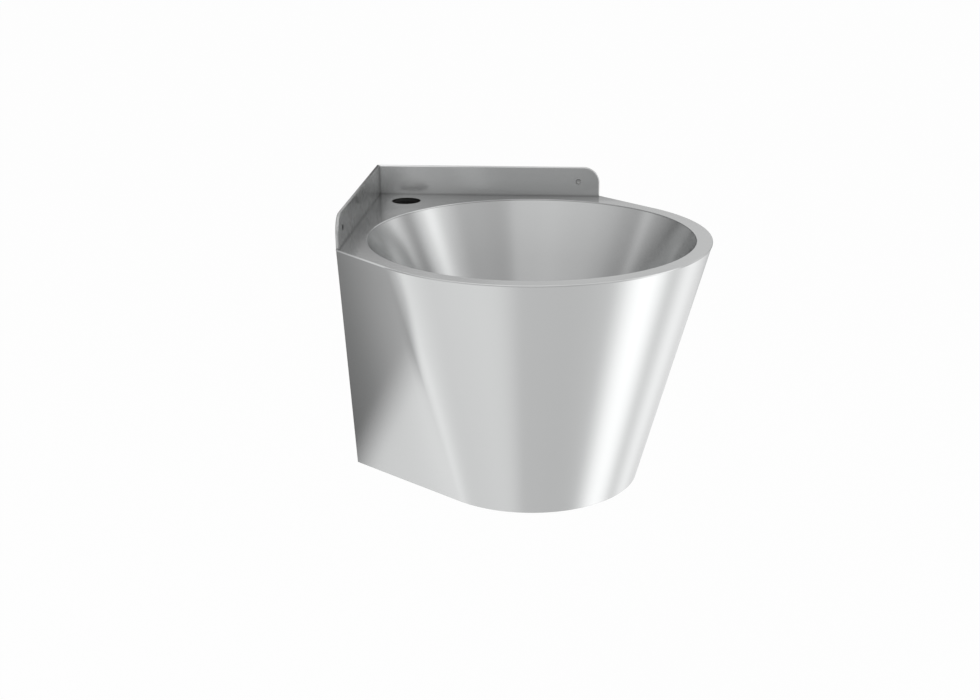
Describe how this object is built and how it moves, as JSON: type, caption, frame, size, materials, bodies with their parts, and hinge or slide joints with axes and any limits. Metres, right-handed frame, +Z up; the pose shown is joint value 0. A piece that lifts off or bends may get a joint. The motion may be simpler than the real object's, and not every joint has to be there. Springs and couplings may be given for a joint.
{
  "type": "corner basin",
  "caption": "Wall-hung corner wash basin in satin stainless steel: round conical bowl, conical skirt, two wall upstands, tap hole, grid waste and a hidden bottle trap.",
  "frame": {"origin": "on the corner line of the room's two walls, at the height of the deck", "axes": "+Z up; the back wall is the plane Y = 0 and the side wall the plane X = 0, with the basin towards +X and -Y"},
  "size_m": [0.4, 0.43, 0.313],
  "materials": {
    "satin_steel": "satin, finely ground",
    "black_steel": "powder-coated, half matt",
    "bright_steel": "polished",
    "black_rubber": "matt",
    "white_plastic": "moulded, half matt",
    "cup_plastic": "moulded, smooth",
    "damping_pad": "matt, grained"
  },
  "bodies": {
    "root": {"deck_with_upstands": "satin_steel", "tap_hole_plate": "black_steel", "corner_bracket": "black_steel", "bowl": "satin_steel", "sound_pad": "damping_pad", "skirt": "satin_steel", "base_flange": "satin_steel", "right_wall_flange": "satin_steel", "left_wall_flange": "satin_steel", "earth_tag": "satin_steel", "waste_body": "bright_steel", "upper_gasket": "black_rubber", "strainer_grid": "bright_steel", "strainer_screw": "bright_steel", "lower_gasket": "black_rubber", "friction_washer": "white_plastic", "backnut": "white_plastic", "inlet_washer": "black_rubber", "inlet_nut": "white_plastic", "trap_head": "white_plastic", "dip_tube": "white_plastic", "cup_seal": "black_rubber", "trap_cup": "cup_plastic", "outlet_washer": "black_rubber", "outlet_nut": "white_plastic", "drain_pipe": "white_plastic", "drain_elbow": "white_plastic", "wall_pipe": "white_plastic", "wall_rosette": "white_plastic"}
  },
  "joints": []
}
